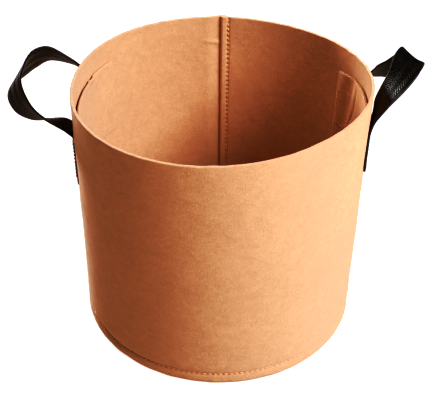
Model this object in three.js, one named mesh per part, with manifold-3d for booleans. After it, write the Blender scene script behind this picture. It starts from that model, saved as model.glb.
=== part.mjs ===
/*
 * Fabric grow bag: a round planter sewn from thick felt, with two webbing handles.
 *
 * Millimetres. +Z is up, +Y points to the back seam and +X to the right handle.
 * The origin is the centre of the underside, which the bag stands on.
 *
 * Every piece is first drawn on a plain cylinder, as flat cloth rolled round it, and then
 * goes through bendToBag, which gives the bag its slightly narrower foot and oval rim.
 */
import * as THREE from "three";
import { mergeVertices } from "three/addons/utils/BufferGeometryUtils.js";
import Module from "manifold-3d";

// Driving dimensions of the bag
const RADIUS = 125; // outside of the rim
const HEIGHT = 222;
const FELT = 2.5; // thickness of the felt
const GAP = 0.3; // air between two pieces that lie on each other
const AROUND = 72; // facets round the bag
const UP = 4; // facets up the wall and every other upright piece
const CORNER = 2; // facets round a quarter of a turn
const FOOT_TAPER = 0.03; // the foot is narrower than the rim by this fraction

// How far the soft rim stands out of round, as fractions of the radius. The foot is round.
const RIM_LOBES = [
  { waves: 2, cos: -0.03, sin: 0.0156 },
  { waves: 3, cos: 0.0185, sin: 0.0076 },
];

// Back seam: the right end of the felt strip laps over the left end, inside the bag, and one
// row of stitches goes through both
const SEAM_ANGLE = THREE.MathUtils.degToRad(86.9);
const SEAM_LAP = 7.2; // from the stitches to the free edge inside
const SEAM_TAIL = 4; // from the stitches to the free edge outside
const SEAM_RAMP = 12; // length over which the wall steps inwards to the lap
const RAMP_FACETS = 4;

// Base: a disc whose edge is turned up inside the wall and stitched through it
const TURN_UP = 18;
const BASE_CORNER = 4;
const BASE_STITCH_HEIGHT = 12;

// Thread, as a raised line on the cloth
const THREAD = 0.8;
const STITCH_BOX = { width: 18, height: 34 };
const SEAM_THREAD_END = 4; // the back seam's stitches stop short of the rim and the base

// Webbing handles, and the felt patches inside the wall behind their sewn ends
const WEBBING = { width: 25, thickness: 1.4 };
const STRAP_END_FACETS = 5;
const LOOP_FACETS = { along: 40, across: 2 };
const PATCH = { bottom: 136, top: 204, facets: 16 };

// Angles are in degrees behind the middle of the bag's side. A loop is the free webbing from
// the front end to the rear end: the middle of the webbing and the direction of its width.
// The left webbing is sewn with half a turn of twist in it.
const HANDLES = {
  right: {
    turn: 1,
    ends: { front: -7.5, rear: 22, bottom: 153, top: 189 },
    patch: { from: -15, to: 28 },
    loop: [
      { at: [124, -15, 196.5], across: [0.11, 0.98, -0.19] },
      { at: [129, -12.5, 208], across: [-0.23, 0.95, -0.22] },
      { at: [138.5, -5.5, 219.5], across: [-0.55, 0.82, -0.14] },
      { at: [147, 3, 229], across: [-0.8, 0.59, -0.1] },
      { at: [152.5, 15, 234], across: [-0.91, 0.41, 0.1] },
      { at: [157, 25.5, 231.5], across: [-0.76, 0.48, 0.43] },
      { at: [159.5, 35.5, 224.5], across: [-0.63, 0.49, 0.6] },
      { at: [157, 43, 216.5], across: [-0.72, 0.18, 0.67] },
      { at: [149, 48, 210], across: [-0.54, -0.27, 0.8] },
      { at: [136.5, 51, 205.5], across: [-0.32, -0.66, 0.68] },
      { at: [121.5, 49.5, 199], across: [-0.01, -0.97, 0.23] },
    ],
  },
  left: {
    turn: -1,
    ends: { front: -9, rear: 28, bottom: 139, top: 184 },
    patch: { from: -17, to: 36 },
    loop: [
      { at: [-123.5, -19.5, 189], across: [-0.17, 0.98, -0.05] },
      { at: [-139, -21.5, 195.5], across: [-0.22, 0.87, -0.45] },
      { at: [-150.5, -20.5, 200.5], across: [-0.26, 0.61, -0.75] },
      { at: [-159.5, -16, 207], across: [-0.43, 0.33, -0.84] },
      { at: [-165, -7.5, 213.5], across: [-0.54, 0.24, -0.81] },
      { at: [-166, 4.5, 217.5], across: [-0.55, 0.24, -0.8] },
      { at: [-159.5, 30, 220.5], across: [-0.33, 0.19, -0.93] },
      { at: [-151.5, 43, 220], across: [-0.47, 0.23, -0.85] },
      { at: [-141, 51, 216], across: [-0.6, 0.61, -0.52] },
      { at: [-124, 56.5, 205], across: [-0.41, 0.87, -0.26] },
      { at: [-112.5, 57.5, 192.5], across: [0.13, 0.98, 0.12] },
    ],
  },
};

const FELT_FINISH = { color: 0xc98350, roughness: 0.95, metalness: 0 };
const SEAM_THREAD_FINISH = { color: 0xb06c3c, roughness: 0.6, metalness: 0 };
const WEBBING_FINISH = { color: 0x141414, roughness: 0.7, metalness: 0 };
const WEBBING_THREAD_FINISH = { color: 0x1c1c1c, roughness: 0.6, metalness: 0 };

const wasm = await Module();
wasm.setup();

const bag = new THREE.Group();

// Adds one named piece with a material of its own.
function addPiece(name, geometry, finish) {
  const mesh = new THREE.Mesh(geometry, new THREE.MeshStandardMaterial(finish));
  mesh.name = name;
  bag.add(mesh);
}

// The bag's radius at this angle and height, as a fraction of RADIUS.
function outOfRound(angle, height) {
  const h = height / HEIGHT;
  const lobes = RIM_LOBES.reduce(
    (sum, { waves, cos, sin }) =>
      sum + cos * Math.cos(waves * angle) + sin * Math.sin(waves * angle),
    0,
  );
  return 1 - FOOT_TAPER * (1 - h) + lobes * h;
}

// Moves every vertex by a function of its position.
function reshape(geometry, move) {
  const position = geometry.getAttribute("position");
  const vertex = new THREE.Vector3();
  for (let i = 0; i < position.count; i++) {
    move(vertex.fromBufferAttribute(position, i));
    position.setXYZ(i, vertex.x, vertex.y, vertex.z);
  }
  return geometry;
}

// From the plain cylinder to the real shape of the bag.
function bendToBag(geometry) {
  return reshape(geometry, (v) => {
    const fraction = outOfRound(Math.atan2(v.y, v.x), v.z);
    v.x *= fraction;
    v.y *= fraction;
  });
}

// A point of flat cloth, x along the wall and y inwards, rolled round the cylinder.
function rolledPoint(x, y, angle) {
  const turned = angle + x / RADIUS;
  return new THREE.Vector2(Math.cos(turned), Math.sin(turned)).multiplyScalar(RADIUS - y);
}

// Flat cloth, with x along the wall, y inwards and z up, laid on the bag around an angle.
function lay(geometry, angle) {
  const rolled = reshape(geometry, (v) => {
    const { x, y } = rolledPoint(v.x, v.y, angle);
    v.set(x, y, v.z);
  });
  return bendToBag(rolled);
}

// A flat rectangle of cloth between two heights, its outer face at a depth inside the wall.
function sheet(width, thickness, bottom, top, depth, facets) {
  const height = top - bottom;
  return new THREE.BoxGeometry(width, thickness, height, facets, 1, UP)
    .translate(0, depth + thickness / 2, bottom + height / 2);
}

// A geometry as a manifold-3d solid, for cutting and joining.
function toSolid(geometry) {
  const bare = geometry.clone();
  bare.deleteAttribute("normal");
  bare.deleteAttribute("uv");
  const merged = mergeVertices(bare, 1e-4);
  return new wasm.Manifold(
    new wasm.Mesh({
      numProp: 3,
      vertProperties: merged.getAttribute("position").array,
      triVerts: new Uint32Array(merged.index.array),
    }),
  );
}

function fromSolid(solid) {
  const { vertProperties, triVerts } = solid.getMesh();
  return new THREE.BufferGeometry()
    .setAttribute("position", new THREE.BufferAttribute(vertProperties, 3))
    .setIndex(new THREE.BufferAttribute(triVerts, 1));
}

// The outline of a strip of cloth of this thickness along a centre line.
function stripOutline(centreLine, thickness) {
  const sides = [[], []];
  centreLine.forEach((point, i) => {
    const before = centreLine[Math.max(i - 1, 0)];
    const after = centreLine[Math.min(i + 1, centreLine.length - 1)];
    const along = after.clone().sub(before).normalize();
    const across = new THREE.Vector2(-along.y, along.x).multiplyScalar(thickness / 2);
    sides[0].push(point.clone().add(across));
    sides[1].push(point.clone().sub(across));
  });
  return [...sides[0], ...sides[1].reverse()];
}

// The side wall in plan, drawn flat. The left end is the tail outside the lap. The strip runs
// once round the bag, and then its right end steps inwards and lies on the tail.
function wallCentreLine() {
  const half = FELT / 2;
  const round = 2 * Math.PI * RADIUS;
  const lapDepth = half + FELT + GAP;
  const rampEnd = round - SEAM_TAIL - GAP;
  const rampStart = rampEnd - SEAM_RAMP;
  const wall = Array.from({ length: AROUND + 1 }, (unused, i) => {
    const x = -SEAM_TAIL + ((rampStart + SEAM_TAIL) * i) / AROUND;
    return new THREE.Vector2(x, half);
  });
  const ramp = new THREE.CubicBezierCurve(
    new THREE.Vector2(rampStart, half),
    new THREE.Vector2(rampStart + SEAM_RAMP / 2, half),
    new THREE.Vector2(rampEnd - SEAM_RAMP / 2, lapDepth),
    new THREE.Vector2(rampEnd, lapDepth),
  );
  const lapEnd = new THREE.Vector2(round + SEAM_LAP, lapDepth);
  return [...wall, ...ramp.getPoints(RAMP_FACETS).slice(1), lapEnd];
}

function sideWall() {
  const flat = stripOutline(wallCentreLine(), FELT);
  const plan = new THREE.Shape(flat.map(({ x, y }) => rolledPoint(x, y, SEAM_ANGLE)));
  const wall = bendToBag(
    new THREE.ExtrudeGeometry(plan, { depth: HEIGHT, steps: UP, bevelEnabled: false }),
  );
  // The lap is trimmed short above the base's turned-up edge, which takes its place there.
  const width = 2 * (SEAM_TAIL + SEAM_RAMP);
  const thickness = 2 * FELT;
  const bottom = -1;
  const top = TURN_UP + 2 * GAP;
  const justInsideWall = FELT + 0.1 * GAP;
  const facets = 6;
  const trim = sheet(width, thickness, bottom, top, justInsideWall, facets);
  return fromSolid(toSolid(wall).subtract(toSolid(lay(trim, SEAM_ANGLE))));
}

function baseDisc() {
  const edge = RADIUS - FELT - GAP;
  const profile = new THREE.Path();
  profile.moveTo(0, 0);
  profile.lineTo(edge - BASE_CORNER, 0);
  profile.absarc(edge - BASE_CORNER, BASE_CORNER, BASE_CORNER, -Math.PI / 2, 0, false);
  profile.lineTo(edge, TURN_UP);
  profile.lineTo(edge - FELT, TURN_UP);
  profile.absarc(edge - BASE_CORNER, BASE_CORNER, BASE_CORNER - FELT, 0, -Math.PI / 2, true);
  profile.lineTo(0, FELT);
  const disc = new THREE.LatheGeometry(profile.getPoints(CORNER), AROUND);
  return bendToBag(disc.rotateX(Math.PI / 2));
}

// A ring of thread round the bag at one height, its middle at this depth inside the wall.
function threadRing(height, depth) {
  const profile = new THREE.Path();
  profile.absarc(RADIUS - depth, height, THREAD / 2, 0, 2 * Math.PI, false);
  const ring = new THREE.LatheGeometry(profile.getPoints(CORNER), AROUND);
  return bendToBag(ring.rotateX(Math.PI / 2));
}

// A sewn box with both diagonals, as flat bars laid on the bag and joined. Each direction has
// its own thickness, so no two bars share a face.
function boxStitch(angle, middle, depth) {
  const { width, height } = STITCH_BOX;
  const diagonal = Math.hypot(width, height);
  const slope = Math.atan2(height, width);
  const bars = [
    { length: width, x: 0, z: height / 2, turn: 0, facets: 3, share: 1 },
    { length: width, x: 0, z: -height / 2, turn: 0, facets: 3, share: 1 },
    { length: height, x: width / 2, z: 0, turn: Math.PI / 2, facets: 1, share: 0.92 },
    { length: height, x: -width / 2, z: 0, turn: Math.PI / 2, facets: 1, share: 0.92 },
    { length: diagonal, x: 0, z: 0, turn: slope, facets: 4, share: 0.84 },
    { length: diagonal, x: 0, z: 0, turn: -slope, facets: 4, share: 0.76 },
  ];
  const solids = bars.map(({ length, x, z, turn, facets, share }) => {
    const thick = THREAD * share;
    const bar = new THREE.BoxGeometry(length + thick, thick, thick, facets, 1, 1);
    bar.rotateY(turn).translate(x, depth, middle + z);
    return toSolid(lay(bar, angle));
  });
  return fromSolid(solids.reduce((joined, bar) => joined.add(bar)));
}

// The free webbing between its two sewn ends, swept along the loop's stations.
function handleLoop(loop) {
  const middle = new THREE.CatmullRomCurve3(loop.map(({ at }) => new THREE.Vector3(...at)));
  const across = new THREE.CatmullRomCurve3(
    loop.map((station) => new THREE.Vector3(...station.across)),
  );
  const { width, thickness } = WEBBING;
  const strip = new THREE.BoxGeometry(width, thickness, 1, LOOP_FACETS.across, 1, LOOP_FACETS.along);
  return reshape(strip.translate(0, 0, 0.5), (v) => {
    const { x, y, z: t } = v;
    const along = middle.getTangent(t);
    const wide = across.getPoint(t).projectOnPlane(along).normalize();
    const thick = along.clone().cross(wide);
    v.copy(middle.getPoint(t)).addScaledVector(wide, x).addScaledVector(thick, y);
  });
}

addPiece("side_wall", sideWall(), FELT_FINISH);
addPiece("base_disc", baseDisc(), FELT_FINISH);

// Depths of the thread on the wall, on the webbing, and on felt laid inside the wall
const onWall = -GAP - THREAD / 2;
const onWebbing = onWall - GAP - WEBBING.thickness;
const onInnerFelt = 2 * FELT + 2 * GAP + THREAD / 2;
addPiece("base_seam_thread", threadRing(BASE_STITCH_HEIGHT, onWall), SEAM_THREAD_FINISH);
addPiece("base_seam_inner_thread", threadRing(BASE_STITCH_HEIGHT, onInnerFelt), SEAM_THREAD_FINISH);

const seamBottom = TURN_UP + SEAM_THREAD_END;
const seamTop = HEIGHT - SEAM_THREAD_END;
const seamThread = new THREE.BoxGeometry(THREAD, THREAD, seamTop - seamBottom, 1, 1, UP)
  .translate(0, onInnerFelt, (seamTop + seamBottom) / 2);
addPiece("back_seam_thread", lay(seamThread, SEAM_ANGLE), SEAM_THREAD_FINISH);

for (const [side, { turn, ends, patch, loop }] of Object.entries(HANDLES)) {
  // Degrees behind the middle of this side, as an angle round the bag.
  const angleOf = (degrees) => {
    const radians = THREE.MathUtils.degToRad(degrees);
    return turn > 0 ? radians : Math.PI - radians;
  };

  const patchWidth = THREE.MathUtils.degToRad(patch.to - patch.from) * RADIUS;
  const patchSheet = sheet(patchWidth, FELT, PATCH.bottom, PATCH.top, FELT + GAP, PATCH.facets);
  const patchAngle = angleOf((patch.from + patch.to) / 2);
  addPiece(`${side}_inner_patch`, lay(patchSheet, patchAngle), FELT_FINISH);

  for (const end of ["front", "rear"]) {
    const angle = angleOf(ends[end]);
    const middle = (ends.bottom + ends.top) / 2;
    const { width, thickness } = WEBBING;
    const outside = -GAP - thickness;
    const strap = sheet(width, thickness, ends.bottom, ends.top, outside, STRAP_END_FACETS);
    addPiece(`${side}_${end}_strap_end`, lay(strap, angle), WEBBING_FINISH);

    const outer = boxStitch(angle, middle, onWebbing);
    addPiece(`${side}_${end}_box_stitch`, outer, WEBBING_THREAD_FINISH);
    const inner = boxStitch(angle, middle, onInnerFelt + GAP);
    addPiece(`${side}_${end}_inner_box_stitch`, inner, SEAM_THREAD_FINISH);
  }

  addPiece(`${side}_handle_loop`, handleLoop(loop), WEBBING_FINISH);
}

export default bag;
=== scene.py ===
"""A felt grow bag with two webbing handles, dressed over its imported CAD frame.

Metres, +Z up, +Y towards the back seam, +X towards the right handle. The wall, the patches
and the straps are drawn flat first (along, up, and through their thickness), and a function
then puts them in place. on_bag() holds the bag's shape, so all that is sewn to it follows it.
"""
import math

import bmesh
import bpy
import numpy as np
from mathutils import Matrix, Vector


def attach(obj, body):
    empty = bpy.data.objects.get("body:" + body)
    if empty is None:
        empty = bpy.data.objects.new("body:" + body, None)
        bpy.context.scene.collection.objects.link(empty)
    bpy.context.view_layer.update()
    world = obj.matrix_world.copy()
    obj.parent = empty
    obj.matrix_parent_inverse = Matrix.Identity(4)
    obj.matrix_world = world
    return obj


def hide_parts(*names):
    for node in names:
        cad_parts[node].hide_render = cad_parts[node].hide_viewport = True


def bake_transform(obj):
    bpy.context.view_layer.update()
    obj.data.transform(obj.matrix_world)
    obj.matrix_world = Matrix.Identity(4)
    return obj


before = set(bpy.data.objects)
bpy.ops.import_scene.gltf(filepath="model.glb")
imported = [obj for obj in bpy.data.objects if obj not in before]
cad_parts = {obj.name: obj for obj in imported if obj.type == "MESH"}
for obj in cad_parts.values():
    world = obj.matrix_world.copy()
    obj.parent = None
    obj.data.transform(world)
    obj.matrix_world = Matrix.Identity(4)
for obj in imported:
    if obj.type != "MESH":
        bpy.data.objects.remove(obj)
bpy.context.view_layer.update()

MM = 0.001

# The bag, as in the CAD model
RADIUS = 125 * MM
HEIGHT = 222 * MM
FELT = 2.5 * MM
GAP = 0.3 * MM
FOOT_TAPER = 0.03
RIM_LOBES = ((2, -0.03, 0.0156), (3, 0.0185, 0.0076))  # waves, cosine part, sine part
ROUND = 2 * math.pi * RADIUS
INNER_FACE = 2 * FELT + GAP  # how deep the inner face lies where the felt is double

# Seams, patches and webbing
SEAM_ANGLE = math.radians(86.9)
SEAM_LAP = 7.2 * MM
SEAM_TAIL = 4 * MM
SEAM_RAMP = 12 * MM
TURN_UP = 18 * MM
BASE_CORNER = 4 * MM
BASE_STITCH_HEIGHT = 12 * MM
BASE_STITCHES = 171
THREAD = 0.8 * MM
STITCH_PITCH = 4.6 * MM
BOX_PITCH = 3.4 * MM
STITCH_BOX = (18 * MM, 34 * MM)
PATCH_BOTTOM = 136 * MM
PATCH_TOP = 204 * MM
WEBBING_WIDTH = 25 * MM
WEBBING_THICKNESS = 1.4 * MM
WEBBING_GAP = 0.1 * MM
BOX_THREAD_RISE = 0.1 * MM  # above the webbing
BOX_THREAD_SINK = 0.45 * MM  # into the patch

# The two handles. front, rear and patch are degrees behind the middle of the side: the middles
# of the sewn ends, and the patch's two edges. bottom and top are the sewn ends' heights in
# millimetres. A loop's stations are the middle of the webbing, in millimetres, and the
# direction of its width, from the front end to the rear end.
HANDLES = {
    "right": dict(
        turn=1,
        front=-7.5,
        rear=22,
        bottom=153,
        top=189,
        patch=(-15, 28),
        loop=(
            ((124, -15, 196.5), (0.11, 0.98, -0.19)),
            ((129, -12.5, 208), (-0.23, 0.95, -0.22)),
            ((138.5, -5.5, 219.5), (-0.55, 0.82, -0.14)),
            ((147, 3, 229), (-0.8, 0.59, -0.1)),
            ((152.5, 15, 234), (-0.91, 0.41, 0.1)),
            ((157, 25.5, 231.5), (-0.76, 0.48, 0.43)),
            ((159.5, 35.5, 224.5), (-0.63, 0.49, 0.6)),
            ((157, 43, 216.5), (-0.72, 0.18, 0.67)),
            ((149, 48, 210), (-0.54, -0.27, 0.8)),
            ((136.5, 51, 205.5), (-0.32, -0.66, 0.68)),
            ((121.5, 49.5, 199), (-0.01, -0.97, 0.23)),
        ),
    ),
    "left": dict(
        turn=-1,
        front=-9,
        rear=28,
        bottom=139,
        top=184,
        patch=(-17, 36),
        loop=(
            ((-123.5, -19.5, 189), (-0.17, 0.98, -0.05)),
            ((-139, -21.5, 195.5), (-0.22, 0.87, -0.45)),
            ((-150.5, -20.5, 200.5), (-0.26, 0.61, -0.75)),
            ((-159.5, -16, 207), (-0.43, 0.33, -0.84)),
            ((-165, -7.5, 213.5), (-0.54, 0.24, -0.81)),
            ((-166, 4.5, 217.5), (-0.55, 0.24, -0.8)),
            ((-159.5, 30, 220.5), (-0.33, 0.19, -0.93)),
            ((-151.5, 43, 220), (-0.47, 0.23, -0.85)),
            ((-141, 51, 216), (-0.6, 0.61, -0.52)),
            ((-124, 56.5, 205), (-0.41, 0.87, -0.26)),
            ((-112.5, 57.5, 192.5), (0.13, 0.98, 0.12)),
        ),
    ),
}


# ---------------------------------------------------------------- shape of the bag

def portion(x):
    """x, kept between 0 and 1."""
    return np.clip(x, 0, 1)


def ease(x):
    """Goes from 0 to 1 with x, with no corner at either end."""
    x = portion(x)
    return x * x * (3 - 2 * x)


def bell(distance, width):
    """A smooth bump of height 1, which falls to about a third at this distance."""
    return np.exp(-np.square(distance / width))


def half_turn(angle):
    """The same angle, from minus half a turn to half a turn."""
    return np.mod(angle + math.pi, 2 * math.pi) - math.pi


def ripple(angle, height, seed, waves, rises):
    """A smooth random surface round the bag, from -1 to 1, built from a few sine waves."""
    random = np.random.default_rng(seed)
    total = 0
    for _ in range(6):
        around = random.integers(1, waves + 1)
        up = random.uniform(-rises, rises)
        phase = random.uniform(0, 2 * math.pi)
        total = total + np.sin(around * angle + up * height / HEIGHT * 2 * math.pi + phase)
    return total / 6


def seam_distance(angle):
    """The angle from the back seam, positive to the left of it."""
    return half_turn(angle - SEAM_ANGLE)


def side_angle(side, degrees):
    """Degrees behind the middle of the left or right side, as an angle round the bag."""
    radians = math.radians(degrees)
    return radians if HANDLES[side]["turn"] > 0 else math.pi - radians


def out_of_round(angle, height):
    """The radius as a share of RADIUS: narrower at the foot, out of round at the rim."""
    h = height / HEIGHT
    lobes = sum(c * np.cos(n * angle) + s * np.sin(n * angle) for n, c, s in RIM_LOBES)
    return 1 - FOOT_TAPER * (1 - h) + lobes * h


def pucker(angle, height):
    """The small tuck that runs from the back seam up to the left."""
    start, slope, length = 194 * MM, 0.22, 28 * MM
    along = seam_distance(angle) * RADIUS
    line = start + slope * along
    fade = portion(1 - along / length) * portion((along - SEAM_LAP) / (3 * MM))
    return -1.5 * MM * fade * bell(height - line, 1.8 * MM)


def lap_depth(x):
    """How much deeper the cloth lies where it passes inside the back seam's tail. x is the
    distance along the wall to the left of the stitches."""
    return (FELT + GAP) * ease((x + SEAM_TAIL + SEAM_RAMP) / SEAM_RAMP)


def seam_room(angle):
    """The wall moves outwards by the lap's thickness, and settles back over the felt beyond."""
    past_seam = seam_distance(angle) * RADIUS
    settled = ease((past_seam - SEAM_LAP + 0.8 * MM) / (14 * MM))
    return lap_depth(past_seam) * (1 - settled)


def sewn_dent(angle, height):
    """The wall is pressed in a little where the webbing is sewn flat."""
    half_width = 13.5 * MM
    dent = 0
    for side, handle in HANDLES.items():
        middle = (handle["bottom"] + handle["top"]) / 2 * MM
        reach = (handle["top"] - handle["bottom"]) / 2 * MM
        upwards = bell(np.square((height - middle) / reach), 1.2)
        for end in ("front", "rear"):
            past = half_turn(angle - side_angle(side, handle[end]))
            across = bell(np.square(past * RADIUS / half_width), 1)
            dent = dent - 0.7 * MM * across * upwards
    return dent


def relief(angle, height):
    """How far the real cloth stands out from the plain shape."""
    kink = 2.2 * MM * np.exp(-np.abs(seam_distance(angle)) / math.radians(9))
    seam = kink + seam_room(angle) + pucker(angle, height) + sewn_dent(angle, height)
    # The stitches pull the foot in. It is full below and above them, and turned under.
    groove = -0.8 * MM * bell(height - BASE_STITCH_HEIGHT, 1.8 * MM)
    below = 0.5 * MM * bell(height - 5 * MM, 5 * MM)
    above = 0.4 * MM * bell(height - 21 * MM, 6 * MM)
    tuck = -1.8 * MM * np.square(portion(1 - height / (5 * MM)))
    # The wall waves a little, less near the foot, and the lowest edge has small pleats.
    wide_waves = 0.5 * MM * ripple(angle, height, seed=3, waves=9, rises=2)
    small_waves = 0.25 * MM * ripple(angle, height, seed=8, waves=30, rises=6)
    soft = (wide_waves + small_waves) * portion(height / (60 * MM))
    pleats = 0.4 * MM * ripple(angle, 0, seed=31, waves=45, rises=0)
    flutter = pleats * portion(1 - height / (8 * MM))
    return seam + groove + below + above + tuck + flutter + soft


def on_bag(angle, depth, height):
    """Points on the bag, at a depth inwards from the wall's outer face."""
    radius = (RADIUS - depth) * (out_of_round(angle, height) + relief(angle, height) / RADIUS)
    x, y = radius * np.cos(angle), radius * np.sin(angle)
    return np.stack(np.broadcast_arrays(x, y, height), -1)


# ---------------------------------------------------------------- mesh builders

def make_object(name, points, faces, cloth=None):
    """A mesh object, with each point's place on the flat cloth kept for its material."""
    mesh = bpy.data.meshes.new(name)
    mesh.from_pydata(points.reshape(-1, 3).tolist(), [], faces)
    if cloth is not None:
        flat = mesh.attributes.new("cloth", "FLOAT_VECTOR", "POINT")
        flat.data.foreach_set("vector", np.ascontiguousarray(cloth, dtype=np.float32).ravel())
    mesh.polygons.foreach_set("use_smooth", np.ones(len(mesh.polygons), dtype=bool))
    mesh.validate()
    obj = bpy.data.objects.new(name, mesh)
    bpy.context.scene.collection.objects.link(obj)
    return obj


def face_out(obj):
    """Turns every face of a closed mesh outwards."""
    work = bmesh.new()
    work.from_mesh(obj.data)
    bmesh.ops.recalc_face_normals(work, faces=work.faces)
    work.to_mesh(obj.data)
    work.free()
    return obj


def section(up, half, corner):
    """Once round a sheet's edge: up one face, over the top, down the other, and under."""
    turns = np.radians([0, 30, 60])
    clear = corner * 1.2
    rise = up[(up > up[0] + clear) & (up < up[-1] - clear)]
    top = up[-1] - corner + corner * np.sin(turns)
    bottom = up[0] + corner - corner * np.cos(turns)
    over = half - corner + corner * np.cos(turns)
    under = half - corner + corner * np.sin(turns)
    v = np.concatenate([bottom, [up[0] + corner], rise, top, [up[-1]]])
    w = np.concatenate([under, [half], np.full(len(rise), half), over, [half - corner]])
    return np.concatenate([v, v[::-1]]), np.concatenate([-w, w[::-1]])


def band(a, b, count):
    """The faces between two closed rings of points that start at points a and b."""
    return [(a + k, a + (k + 1) % count, b + (k + 1) % count, b + k) for k in range(count)]


def lid(base, loop):
    """The faces that close a sheet's end, across its thickness."""
    return [
        (base + k, base + k + 1, base + loop - 2 - k, base + loop - 1 - k)
        for k in range(loop // 2 - 1)
    ]


def sheet_mesh(name, along, up, thickness, place, corner=0.6 * MM):
    """A closed sheet of cloth with rounded edges. place() puts flat points in the world."""
    half = thickness / 2
    turns = np.radians([90, 60, 30])
    inset = corner * (1 - np.cos(turns))
    start = along[0] + corner * (1 - np.sin(turns))
    end = along[-1] - corner * (1 - np.sin(turns))
    clear = corner * 1.2
    inner = along[(along > along[0] + clear) & (along < along[-1] - clear)]
    inner = np.concatenate([[along[0] + corner], inner, [along[-1] - corner]])
    u = np.concatenate([start, inner, end[::-1]])[:, None]
    inset = np.concatenate([inset, np.zeros(len(inner)), inset[::-1]])[:, None]
    v, w = section(up, half, corner)
    v = np.clip(v[None, :], up[0] + inset, up[-1] - inset)
    w = w[None, :] * (1 - inset / half)
    u = np.broadcast_to(u, v.shape)
    points = place(u, v, w)
    rows, loop = v.shape
    faces = []
    for i in range(rows - 1):
        faces += band(i * loop, (i + 1) * loop, loop)
    faces += lid(0, loop) + lid((rows - 1) * loop, loop)
    return face_out(make_object(name, points, faces, np.stack([u, v, w], -1)))


def steps(start, end, step):
    """Evenly spaced values from start to end, about this far apart."""
    return np.linspace(start, end, max(2, round((end - start) / step) + 1))


# ---------------------------------------------------------------- felt pieces

def seam_shift(angle):
    """How much deeper the base's turned-up edge lies where the lap is behind it."""
    past_seam = seam_distance(angle) * RADIUS
    past_lap = portion((past_seam - SEAM_LAP - 1 * MM) / (5 * MM))
    return lap_depth(past_seam) * (1 - past_lap)


def lap_press(past_seam, v, w):
    """How far the lap is pressed towards the wall, at its free edge and along the stitches."""
    free_edge = np.square(portion((past_seam - SEAM_LAP) / (2.2 * MM) + 1))
    thinned = 1.6 * MM * (w / FELT + 0.5) + 0.22 * MM
    from_hole = np.abs(np.mod(v, STITCH_PITCH) - STITCH_PITCH / 2) - STITCH_PITCH / 2
    pull = 0.35 + 0.65 * bell(from_hole, 0.9 * MM)
    pulled = 1.1 * MM * bell(past_seam, 1.2 * MM) * pull
    return thinned * free_edge + pulled * (w > 0)


def felt_wall():
    """One strip of felt. Its right end laps over its left end inside the back seam."""
    near_seam = 30 * MM
    plain = np.linspace(0, ROUND, 2 * BASE_STITCHES + 1)
    plain = plain[(plain > near_seam) & (plain < ROUND - near_seam)]
    left_end = steps(-SEAM_TAIL, near_seam, 0.8 * MM)
    right_end = steps(ROUND - near_seam, ROUND + SEAM_LAP, 0.6 * MM)

    def place(u, v, w):
        past_seam = np.where(u > ROUND / 2, u - ROUND, -near_seam * 2)
        depth = FELT / 2 + w + lap_depth(past_seam) - lap_press(past_seam, v, w)
        # The cut rim is slightly uneven, and the outer end is trimmed a little short.
        near_rim = portion((v - 200 * MM) / (22 * MM))
        uneven = 0.35 * MM * ripple(u / RADIUS, 0, seed=21, waves=60, rises=0)
        trimmed = 1.6 * MM * portion((3 * MM - u) / (4 * MM))
        return on_bag(SEAM_ANGLE + u / RADIUS, depth, v + near_rim * (uneven - trimmed))

    along = np.concatenate([left_end, plain, right_end])
    piece = sheet_mesh("felt_wall", along, steps(0, HEIGHT, 1.15 * MM), FELT, place)
    return piece


def base_section(edge):
    """Radius and height from the middle out along the lower face, up, and back inside."""
    corner = edge - BASE_CORNER
    tight = BASE_CORNER - FELT
    quarter = np.radians(np.linspace(0, 90, 7))
    flat = steps(4 * MM, corner, 4 * MM)[:-1]
    rise = steps(BASE_CORNER, TURN_UP - 0.5 * MM, 1.2 * MM)[1:]
    upright = np.zeros(len(rise))
    outer_r = np.concatenate([flat, corner + BASE_CORNER * np.sin(quarter), edge + upright])
    outer_z = np.concatenate([0 * flat, BASE_CORNER - BASE_CORNER * np.cos(quarter), rise])
    inner_r = np.concatenate([flat, corner + tight * np.sin(quarter), edge - FELT + upright])
    inner_z = np.concatenate([FELT + 0 * flat, BASE_CORNER - tight * np.cos(quarter), rise])
    lip_r = edge - FELT * np.array([0.2, 0.5, 0.8])
    lip_z = np.full(len(lip_r), TURN_UP)
    r = np.concatenate([outer_r, lip_r, inner_r[::-1]])
    z = np.concatenate([outer_z, lip_z, inner_z[::-1]])
    return r[None, :], z[None, :]


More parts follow.
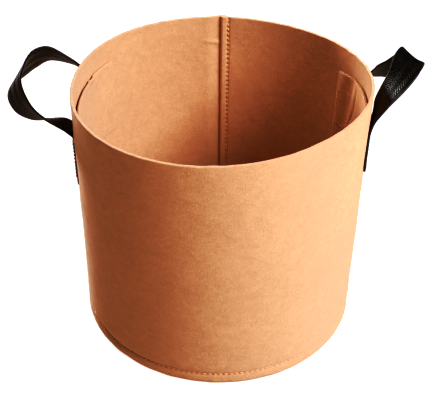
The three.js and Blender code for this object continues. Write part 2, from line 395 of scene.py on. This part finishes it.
def felt_base():
    """One disc of felt whose edge turns up inside the wall, with small pleats in the edge."""
    edge = RADIUS - FELT - GAP
    r, z = base_section(edge)
    count = 2 * BASE_STITCHES
    angle = SEAM_ANGLE + np.linspace(0, 2 * math.pi, count, endpoint=False)[:, None]
    depth = RADIUS - r + 0 * angle
    upright = portion((z - BASE_CORNER) / (TURN_UP - BASE_CORNER)) * (depth > FELT + 2 * GAP)
    pleats = portion(ripple(angle, 0, seed=5, waves=70, rises=0))
    near_edge = portion((r - edge + 25 * MM) / (20 * MM))
    depth = depth + upright * 1.4 * MM * pleats + near_edge * seam_shift(angle)
    inner_floor = (z > FELT / 2) * (r < edge - 8 * MM)
    wave = 0.5 * MM * (1 + ripple(angle, r * 3, seed=12, waves=5, rises=2)) * inner_floor
    points = on_bag(angle, depth, z + wave)
    # One point at the middle of each face closes the disc.
    middle = [[0, 0, 0], [0, 0, FELT]]
    size = points.shape[1]
    below, above = count * size, count * size + 1
    points = np.concatenate([points.reshape(-1, 3), middle])
    faces = []
    for i in range(count):
        a, b = i * size, (i + 1) % count * size
        faces += [(a + k, b + k, b + k + 1, a + k + 1) for k in range(size - 1)]
        faces += [(a, below, b), (a + size - 1, b + size - 1, above)]
    # Each point's place on the flat disc
    around = np.broadcast_to(angle, depth.shape)
    spread = np.minimum(r, edge) + np.clip(z - FELT, 0, None) + 0 * around
    cloth = np.stack([spread * np.cos(around), spread * np.sin(around), z + 0 * around], -1)
    cloth = np.concatenate([cloth.reshape(-1, 3), middle])
    base = face_out(make_object("felt_base", points, faces, cloth))
    return base


def left_lift(degrees, below_top):
    """The left patch gapes along its top edge, in two stretches towards the front."""
    gape = np.square(portion(1 - below_top / 0.13))
    open_to = portion((20.5 - degrees) / 2) * (1 - 0.8 * bell(degrees - 15, 0.6))
    return 1.8 * MM * gape * open_to


def right_lift(degrees, below_top):
    """The right patch gapes at the top, and has a valley along the rear stitches. Its rear
    edge stands up behind the valley. In front of it the felt fills out, with one crease."""
    gape = 0.8 * MM * np.square(portion(1 - below_top / 0.35)) * portion((17 - degrees) / 8)
    valley = 17.5 + 3 * below_top
    behind, before = np.clip(degrees - valley, 0, None), np.clip(valley - degrees, 0, None)
    standing = 3.6 * MM * np.square(np.sin(portion(behind / 8.5) * math.pi / 2))
    swell = portion(below_top * 5) * portion(3.5 - 3.5 * below_top)
    pillow = 3.4 * MM * (1 - np.exp(-before / 2.5)) * bell(before, 12) * swell
    crease = 1.1 * MM * bell(before - 4 - 2 * np.sin(6 * below_top), 0.9) * swell
    return gape + standing + pillow - crease


def patch_lift(side, degrees, height):
    """How far a patch stands off the wall."""
    below_top = (PATCH_TOP - height) / (PATCH_TOP - PATCH_BOTTOM)
    lift = right_lift if side == "right" else left_lift
    return lift(degrees, below_top)


def inner_patch(side):
    """The felt rectangle inside the wall, behind both sewn ends of a handle."""
    start, end = HANDLES[side]["patch"]
    turn = HANDLES[side]["turn"]
    width = math.radians(end - start) * RADIUS

    def place(u, v, w):
        degrees = start + np.degrees(u / RADIUS)
        angle = math.radians(start) + u / RADIUS
        angle = angle if turn > 0 else math.pi - angle
        depth = FELT + GAP + FELT / 2 + w + patch_lift(side, degrees, v)
        return on_bag(angle, depth, v)

    along = steps(0, width, 1.2 * MM)
    up = steps(PATCH_BOTTOM, PATCH_TOP, 1.2 * MM)
    patch = sheet_mesh(side + "_felt_patch", along, up, FELT, place, corner=1.0 * MM)
    return patch


# ---------------------------------------------------------------- webbing

def spline(values, count):
    """A smooth curve through rows of values, the first three of which are a place."""
    values = np.asarray(values, dtype=float)
    strides = np.linalg.norm(np.diff(values[:, :3], axis=0), axis=1)
    knots = np.concatenate([[0], np.cumsum(np.sqrt(strides))])
    slopes = np.gradient(values, knots, axis=0)
    t = np.linspace(0, knots[-1], count)
    i = np.clip(np.searchsorted(knots, t, side="right") - 1, 0, len(knots) - 2)
    gap = (knots[i + 1] - knots[i])[:, None]
    s = (t - knots[i])[:, None] / gap
    return (
        (2 * s**3 - 3 * s**2 + 1) * values[i]
        + (s**3 - 2 * s**2 + s) * gap * slopes[i]
        + (3 * s**2 - 2 * s**3) * values[i + 1]
        + (s**3 - s**2) * gap * slopes[i + 1]
    )


def unit(vectors):
    """The same directions, with length 1."""
    return vectors / np.linalg.norm(vectors, axis=-1, keepdims=True)


def strap_stations(side):
    """The strap from its front sewn end, over the loop, to its rear one: the middle, the
    direction of the width, the way out of the bag, and 1 where it is sewn flat."""
    handle = HANDLES[side]
    bottom, top = handle["bottom"] * MM, handle["top"] * MM
    heights = np.linspace(bottom, top - 1 * MM, 6)
    depth = -WEBBING_GAP - WEBBING_THICKNESS / 2

    def sewn(degrees, rising):
        angle = side_angle(side, degrees)
        middles = on_bag(angle, depth, heights)
        away = np.array([math.cos(angle), math.sin(angle), 0])
        wide = np.array([-math.sin(angle), math.cos(angle), 0])
        near = handle["loop"][0 if rising else -1][1]
        wide = wide * np.sign(np.dot(wide, near))
        rows = [np.concatenate([m, wide, away, [1]]) for m in middles]
        return rows if rising else rows[::-1]

    loop = [
        np.concatenate([np.array(middle) * MM, wide, [handle["turn"], 0, 0], [0]])
        for middle, wide in handle["loop"]
    ]
    return sewn(handle["front"], True) + loop + sewn(handle["rear"], False)


def weave(u, v):
    """Herringbone ribs: slanting ridges that turn round in each narrow column."""
    column = 4.2 * MM
    rib = 2.4 * MM
    slant = np.abs(np.mod(v / column, 2) - 1) * column
    edge = bell(np.abs(v) - WEBBING_WIDTH / 2, 1.2 * MM)
    return (np.cos(2 * math.pi * (u + slant) / rib) * 0.5 + 0.5) * (1 - edge) + edge * 0.6


def strap(side):
    """A handle's whole length of webbing, from one sewn end over the free loop to the other."""
    dense = spline(strap_stations(side), 1200)
    middle = dense[:, :3]
    tangent = unit(np.gradient(middle, axis=0))
    wide = dense[:, 3:6]
    wide = unit(wide - np.sum(wide * tangent, axis=1, keepdims=True) * tangent)
    thick = np.cross(tangent, wide)
    away = unit(dense[:, 6:9])
    flat = portion(dense[:, 9])
    lengths = np.concatenate([[0], np.cumsum(np.linalg.norm(np.diff(middle, axis=0), axis=1))])

    def along(u, values):
        if values.ndim == 1:
            return np.interp(u, lengths, values)
        return np.stack([np.interp(u, lengths, values[:, k]) for k in range(3)], -1)

    def place(u, v, w):
        ribs = 0.35 * MM * weave(u, v) * np.sign(w) * portion(np.abs(w) / (0.6 * MM))
        bend = along(u, flat) * np.square(v) / (2 * RADIUS)
        return (
            along(u, middle)
            + along(u, wide) * v[..., None]
            + along(u, thick) * (w + ribs)[..., None]
            - along(u, away) * bend[..., None]
        )

    half = WEBBING_WIDTH / 2
    lengthwise = steps(0, lengths[-1], 0.45 * MM)
    across = steps(-half, half, 0.45 * MM)
    name = side + "_webbing_strap"
    piece = sheet_mesh(name, lengthwise, across, WEBBING_THICKNESS, place, corner=0.7 * MM)
    return piece


# ---------------------------------------------------------------- stitches

def stitches(name, starts, ends, depth, proud):
    """Single stitches from flat starts to flat ends (angle, height), on a face at a depth.
    proud is -1 for thread on the outside and 1 for thread on the inside."""
    rings, sides = 9, 8
    # Each stitch arches out of one hole and down into the next.
    s = np.linspace(0, 1, rings)[None, :, None]
    starts, ends = np.asarray(starts)[:, None, :], np.asarray(ends)[:, None, :]
    flat = starts + (ends - starts) * s
    lift = THREAD * (1.15 * np.sqrt(portion(np.sin(math.pi * s[..., 0]))) - 0.65)
    middle = on_bag(flat[..., 0], depth + proud * lift, flat[..., 1])
    tangent = unit(np.gradient(middle, axis=1))
    out = np.stack([np.cos(flat[..., 0]), np.sin(flat[..., 0]), 0 * flat[..., 0]], -1)
    wide = unit(np.cross(tangent, out))
    out = np.cross(wide, tangent)
    # Its section is three twisted plies, and it is thinner at both ends.
    turn = np.linspace(0, 2 * math.pi, sides, endpoint=False)
    ply = 1 + 0.14 * np.cos(3 * turn + 7 * s)
    taper = 0.55 + 0.45 * portion(np.sin(math.pi * s)) ** 0.4
    radius = THREAD / 2 * ply * taper
    ring = (
        wide[:, :, None, :] * np.cos(turn)[:, None] + out[:, :, None, :] * np.sin(turn)[:, None]
    ) * radius[..., None]
    points = middle[:, :, None, :] + ring
    faces = []
    for n in range(points.shape[0]):
        base = n * rings * sides
        for i in range(rings - 1):
            faces += band(base + i * sides, base + (i + 1) * sides, sides)
        faces.append(tuple(base + k for k in range(sides))[::-1])
        faces.append(tuple(base + (rings - 1) * sides + k for k in range(sides)))
    return face_out(make_object(name, points, faces))


def stitch_line(start, end, pitch, fill=0.78):
    """Starts and ends of the stitches of one straight run of the seam."""
    start, end = np.asarray(start), np.asarray(end)
    length = math.hypot((end[0] - start[0]) * RADIUS, end[1] - start[1])
    count = max(1, round(length / pitch))
    first = np.arange(count)[:, None] / count
    last = first + fill / count
    return start + (end - start) * first, start + (end - start) * last


def back_seam_stitches():
    """The row that closes the tube, on the inner face and on the outer face."""
    low = math.ceil((TURN_UP + 4 * MM) / STITCH_PITCH) * STITCH_PITCH
    count = int((HEIGHT - 4 * MM - low) / STITCH_PITCH)
    first = low + STITCH_PITCH * np.arange(count)
    starts = np.stack([np.full(count, SEAM_ANGLE), first + 0.5 * MM], -1)
    ends = np.stack([np.full(count, SEAM_ANGLE), first + STITCH_PITCH - 0.5 * MM], -1)
    inside = stitches("back_seam_stitches", starts, ends, INNER_FACE - 0.4 * MM, 1)
    outside = stitches("back_seam_outer_stitches", starts, ends, 0, -1)
    return inside, outside


def base_seam_stitches(name, depth, proud):
    """The row round the foot, on one face."""
    step = 2 * math.pi / BASE_STITCHES
    angle = SEAM_ANGLE + step * (np.arange(BASE_STITCHES) + 0.1)
    if proud > 0:
        depth = depth + seam_shift(angle)[:, None]
    height = np.full(BASE_STITCHES, BASE_STITCH_HEIGHT)
    starts = np.stack([angle, height], -1)
    ends = np.stack([angle + 0.8 * step, height], -1)
    return stitches(name, starts, ends, depth, proud)


def box_stitches(name, side, end, depth, proud):
    """A sewn box with both diagonals."""
    handle = HANDLES[side]
    angle = side_angle(side, handle[end])
    middle = (handle["bottom"] + handle["top"]) / 2 * MM
    half_angle, half_height = STITCH_BOX[0] / 2 / RADIUS, STITCH_BOX[1] / 2
    corners = [
        (angle + a * half_angle, middle + b * half_height)
        for a, b in ((-1, -1), (1, -1), (1, 1), (-1, 1))
    ]
    runs = [(0, 1), (1, 2), (2, 3), (3, 0), (0, 2), (1, 3)]
    lines = [stitch_line(corners[a], corners[b], BOX_PITCH) for a, b in runs]
    starts = np.concatenate([line[0] for line in lines])
    ends = np.concatenate([line[1] for line in lines])
    if proud > 0:
        across, height = ((starts + ends) / 2).T
        degrees = np.degrees(across if handle["turn"] > 0 else math.pi - across)
        depth = depth + patch_lift(side, degrees, height)[:, None]
    return stitches(name, starts, ends, depth, proud)


# ---------------------------------------------------------------- materials

class Nodes:
    """A material's node tree, built one node at a time."""

    def __init__(self, name):
        self.material = bpy.data.materials.new(name)
        self.material.use_nodes = True
        self.tree = self.material.node_tree
        self.surface = self.tree.nodes["Principled BSDF"]

    def add(self, kind, inputs=None, **settings):
        """A new node with these settings and inputs."""
        node = self.tree.nodes.new("ShaderNode" + kind)
        for key, value in settings.items():
            setattr(node, key, value)
        self.feed(node, inputs or {})
        return node

    def feed(self, node, inputs):
        """Links each input to a socket, or gives it a plain value."""
        for key, value in inputs.items():
            if isinstance(value, bpy.types.NodeSocket):
                self.tree.links.new(value, node.inputs[key])
            else:
                node.inputs[key].default_value = value

    def cloth(self, scale):
        """The flat place on the cloth. scale is in noise cells a metre, along, up and through."""
        place = self.add("Attribute", attribute_name="cloth").outputs["Vector"]
        return self.add("Mapping", {"Vector": place, "Scale": scale}).outputs["Vector"]

    def noise(self, vector, scale, detail=3.0, distortion=0.0):
        values = {"Vector": vector, "Scale": scale, "Detail": detail, "Distortion": distortion}
        return self.add("TexNoise", values).outputs["Fac"]

    def ramp(self, value, stops):
        """Turns a value into a colour, between stops of a place and a colour each."""
        node = self.add("ValToRGB", {"Fac": value})
        while len(node.color_ramp.elements) < len(stops):
            node.color_ramp.elements.new(0.5)
        for element, (place, colour) in zip(node.color_ramp.elements, stops):
            element.position = place
            element.color = colour if len(colour) == 4 else (*colour, 1)
        return node.outputs["Color"]

    def multiply(self, a, b):
        """Two colours multiplied. A Mix node's colour sockets are 6, 7 and, for the result, 2."""
        node = self.add("Mix", {0: 1.0, 6: a, 7: b}, data_type="RGBA", blend_type="MULTIPLY")
        return node.outputs[2]

    def math(self, operation, a, b):
        node = self.add("Math", operation=operation)
        self.feed(node, {0: a, 1: b})
        return node.outputs["Value"]

    def bump(self, height, strength, distance, normal=None):
        inputs = {"Height": height, "Strength": strength, "Distance": distance}
        if normal is not None:
            inputs["Normal"] = normal
        return self.add("Bump", inputs).outputs["Normal"]


def grey(value):
    """A grey of this brightness."""
    return (value, value, value, 1)


def felt_material():
    """Needle-punched felt: short matted fibres in every direction, in two close tones."""
    n = Nodes("felt")
    slanted = n.noise(n.cloth((330, 1000, 1)), 1.0, 4.0, 1.6)
    upright = n.noise(n.cloth((900, 380, 1)), 1.0, 4.0, 1.9)
    fibres = n.math("MULTIPLY", slanted, upright)
    clumps = n.noise(n.cloth((120, 150, 1)), 1.0, 3.0, 0.6)
    clouds = n.noise(n.cloth((22, 26, 1)), 1.0, 2.0)
    tone = n.ramp(fibres, [(0.14, (0.465, 0.240, 0.116)), (0.40, (0.555, 0.296, 0.149))])
    patchy = n.ramp(clumps, [(0.3, grey(0.94)), (0.7, grey(1.04))])
    shade = n.ramp(clouds, [(0.3, grey(0.97)), (0.7, grey(1.02))])
    colour = n.multiply(n.multiply(tone, patchy), shade)
    matted = n.bump(clumps, 0.7, 0.42 * MM)
    surface = n.bump(fibres, 0.8, 0.52 * MM, matted)
    n.feed(n.surface, {
        "Base Color": colour, "Roughness": 0.92, "Normal": surface,
        "Sheen Weight": 0.25, "Sheen Roughness": 0.6, "Sheen Tint": (1.0, 0.8, 0.62, 1),
        "Specular IOR Level": 0.2,
    })
    return n.material


def webbing_material():
    """Black polypropylene webbing, with a soft gloss along its yarns."""
    n = Nodes("webbing")
    yarns = n.noise(n.cloth((700, 2600, 1)), 1.0, 3.0)
    wear = n.noise(n.cloth((90, 130, 1)), 1.0, 3.0)
    tone = n.ramp(yarns, [(0.3, (0.0015, 0.002, 0.0025)), (0.7, (0.005, 0.006, 0.007))])
    faded = n.ramp(wear, [(0.35, grey(0.8)), (0.75, grey(1.5))])
    roughness = n.ramp(wear, [(0.3, grey(0.36)), (0.7, grey(0.50))])
    n.feed(n.surface, {
        "Base Color": n.multiply(tone, faded), "Roughness": roughness,
        "Normal": n.bump(yarns, 0.6, 0.15 * MM), "Specular IOR Level": 0.28,
        "Specular Tint": (0.72, 0.97, 0.88, 1),
    })
    return n.material


def thread_material(name, dark, light):
    """Twisted sewing thread."""
    n = Nodes(name)
    place = n.add("TexCoord").outputs["Object"]
    twist = n.noise(place, 2400.0, 2.0)
    n.feed(n.surface, {
        "Base Color": n.ramp(twist, [(0.35, dark), (0.65, light)]), "Roughness": 0.55,
        "Normal": n.bump(twist, 0.5, 0.1 * MM),
    })
    return n.material


def dress(obj, material, body="bag"):
    """Gives a piece its material and slot, and its body unless none is given."""
    obj.data.materials.clear()
    obj.data.materials.append(material)
    if body:
        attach(obj, body)


# ---------------------------------------------------------------- camera, light and floor

# The camera fitted to the photograph: turned left, looking down, and tilted, in degrees
CAMERA_PLACE = (0, -596.7 * MM, 524.9 * MM)
CAMERA_YAW = -0.26
CAMERA_PITCH = 35.31
CAMERA_ROLL = 0.49
SENSOR_WIDTH = 36
LENS = 68.67

# The floor near the bag, and the ring round it that reaches the horizon. Its glow is warm, as
# the felt is lit by it, and the tone curves bring it to plain white in the picture.
FLOOR_REACH = 4
HORIZON = 80
FLOOR_GLOW = (1.22, 0.98, 0.76, 1)

# Tone curves: brightness in the scene, and brightness in the picture
RED_TONES = (
    (0.12, 0.03), (0.22, 0.068), (0.3, 0.108), (0.42, 0.226),
    (0.75, 0.515), (1.1, 0.835), (1.3, 1.0),
)
GREEN_TONES = (
    (0.12, 0.023), (0.2, 0.052), (0.3, 0.1), (0.5, 0.32),
    (0.7, 0.545), (0.85, 0.66), (1.0, 1.0),
)
BLUE_TONES = (
    (0.08, 0.013), (0.17, 0.045), (0.28, 0.165), (0.4, 0.31),
    (0.5, 0.38), (0.75, 1.0),
)


def make_camera():
    """The photograph's viewing angle: a step back, looking down into the bag."""
    camera = bpy.data.objects.new("camera", bpy.data.cameras.new("camera"))
    bpy.context.scene.collection.objects.link(camera)
    bpy.context.scene.camera = camera
    camera.data.sensor_width = SENSOR_WIDTH
    camera.data.lens = LENS
    yaw, pitch, roll = (math.radians(d) for d in (CAMERA_YAW, CAMERA_PITCH, CAMERA_ROLL))
    ahead = math.cos(pitch)
    forward = Vector((math.sin(yaw) * ahead, math.cos(yaw) * ahead, -math.sin(pitch)))
    level = forward.cross(Vector((0, 0, 1))).normalized()
    top = level.cross(forward)
    right = math.cos(roll) * level + math.sin(roll) * top
    up = -math.sin(roll) * level + math.cos(roll) * top
    turned = Matrix((right, up, -forward)).transposed().to_4x4()
    camera.matrix_world = Matrix.Translation(CAMERA_PLACE) @ turned


def hang(data, place, target):
    """Puts a lamp at a place, turned towards a target."""
    lamp = bpy.data.objects.new(data.name, data)
    bpy.context.scene.collection.objects.link(lamp)
    lamp.location = place
    lamp.rotation_euler = (Vector(target) - Vector(place)).to_track_quat("-Z", "Y").to_euler()


def soft_light(name, place, size, power, colour):
    """A round studio light, turned towards the middle of the bag."""
    data = bpy.data.lights.new(name, "AREA")
    data.shape = "DISK"
    data.size = size
    data.energy = power
    data.color = colour
    hang(data, place, (0, 0, HEIGHT / 2))


def snoot(name, place, target, power, degrees, colour):
    """A narrow lamp, for the inside of the bag."""
    data = bpy.data.lights.new(name, "SPOT")
    data.energy = power
    data.color = colour
    data.spot_size = math.radians(degrees)
    data.spot_blend = 1.0
    data.shadow_soft_size = 0.04
    hang(data, place, target)


def grade(view):
    """A photograph's contrast, with warm browns and a white ground."""
    view.view_transform = "Standard"
    view.look = "None"
    view.use_curve_mapping = True
    mapping = view.curve_mapping
    mapping.clip_max_x = mapping.clip_max_y = 1.5
    for curve, points in zip(mapping.curves, (RED_TONES, GREEN_TONES, BLUE_TONES)):
        curve.points[-1].location = points[-1]
        for x, y in points[:-1]:
            curve.points.new(x, y)
    mapping.update()


def make_floor():
    """A pale floor that reaches the horizon, as a square and a ring round it."""
    mesh = bpy.data.meshes.new("floor")
    corners = [
        (x * reach, y * reach, 0)
        for reach in (FLOOR_REACH, HORIZON)
        for x, y in ((-1, -1), (1, -1), (1, 1), (-1, 1))
    ]
    ring = [(k, (k + 1) % 4, (k + 1) % 4 + 4, k + 4)[::-1] for k in range(4)]
    mesh.from_pydata(corners, [], [(0, 1, 2, 3)] + ring)
    floor = bpy.data.objects.new("floor", mesh)
    bpy.context.scene.collection.objects.link(floor)
    n = Nodes("floor")
    n.feed(n.surface, {
        "Base Color": grey(0.1), "Roughness": 0.9,
        "Emission Color": FLOOR_GLOW, "Emission Strength": 1.0,
    })
    mesh.materials.append(n.material)


def make_studio():
    """A little light from all round, a key from the right, a lamp behind, and two snoots."""
    scene = bpy.context.scene
    world = bpy.data.worlds.new("studio")
    world.use_nodes = True
    background = world.node_tree.nodes["Background"]
    background.inputs["Color"].default_value = (1.0, 0.98, 0.96, 1)
    background.inputs["Strength"].default_value = 0.05
    scene.world = world
    soft_light("key", (1.2, -0.72, 1.37), 1.0, 100, (1.0, 1.0, 1.0))
    soft_light("back", (-1.03, 1.48, 0.66), 0.6, 76, (1.0, 0.95, 0.86))
    snoot("front snoot", (-0.42, -0.18, 0.86), (0.025, 0.12, 0.235), 13.5, 18, (0.96, 1.0, 0.94))
    snoot("rear snoot", (-0.38, 0.33, 0.86), (0.112, 0.012, 0.152), 32, 9, (1.0, 0.97, 0.88))
    make_floor()
    grade(scene.view_settings)


# ---------------------------------------------------------------- assembly

make_camera()
make_studio()

felt = felt_material()
webbing = webbing_material()
seam_thread = thread_material("seam_thread", (0.50, 0.24, 0.11), (0.64, 0.34, 0.17))
webbing_thread = thread_material("webbing_thread", (0.01, 0.01, 0.011), (0.03, 0.03, 0.032))

wall = felt_wall()
dress(wall, felt)
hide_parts("side_wall")

base = felt_base()
dress(base, felt)
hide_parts("base_disc")

inside_seam, outside_seam = back_seam_stitches()
rows = (
    (inside_seam, "back_seam_thread"),
    (outside_seam, "back_seam_thread"),
    (base_seam_stitches("base_seam_stitches", 0, -1), "base_seam_thread"),
    (base_seam_stitches("base_seam_inner_stitches", INNER_FACE, 1), "base_seam_inner_thread"),
)
for row, node in rows:
    dress(row, seam_thread)
    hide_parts(node)

webbing_face = -WEBBING_GAP - WEBBING_THICKNESS
for side, handle in HANDLES.items():
    patch = inner_patch(side)
    dress(patch, felt)
    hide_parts(side + "_inner_patch")

    piece = strap(side)
    dress(piece, webbing, body=None)
    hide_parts(side + "_front_strap_end", side + "_rear_strap_end", side + "_handle_loop")
    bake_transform(piece)

    for end in ("front", "rear"):
        sewn = f"{side}_{end}"
        outer = box_stitches(sewn + "_stitches", side, end, webbing_face - BOX_THREAD_RISE, -1)
        dress(outer, webbing_thread)
        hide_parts(sewn + "_box_stitch")
        inner = box_stitches(sewn + "_inner_stitches", side, end, INNER_FACE - BOX_THREAD_SINK, 1)
        dress(inner, seam_thread)
        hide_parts(sewn + "_inner_box_stitch")
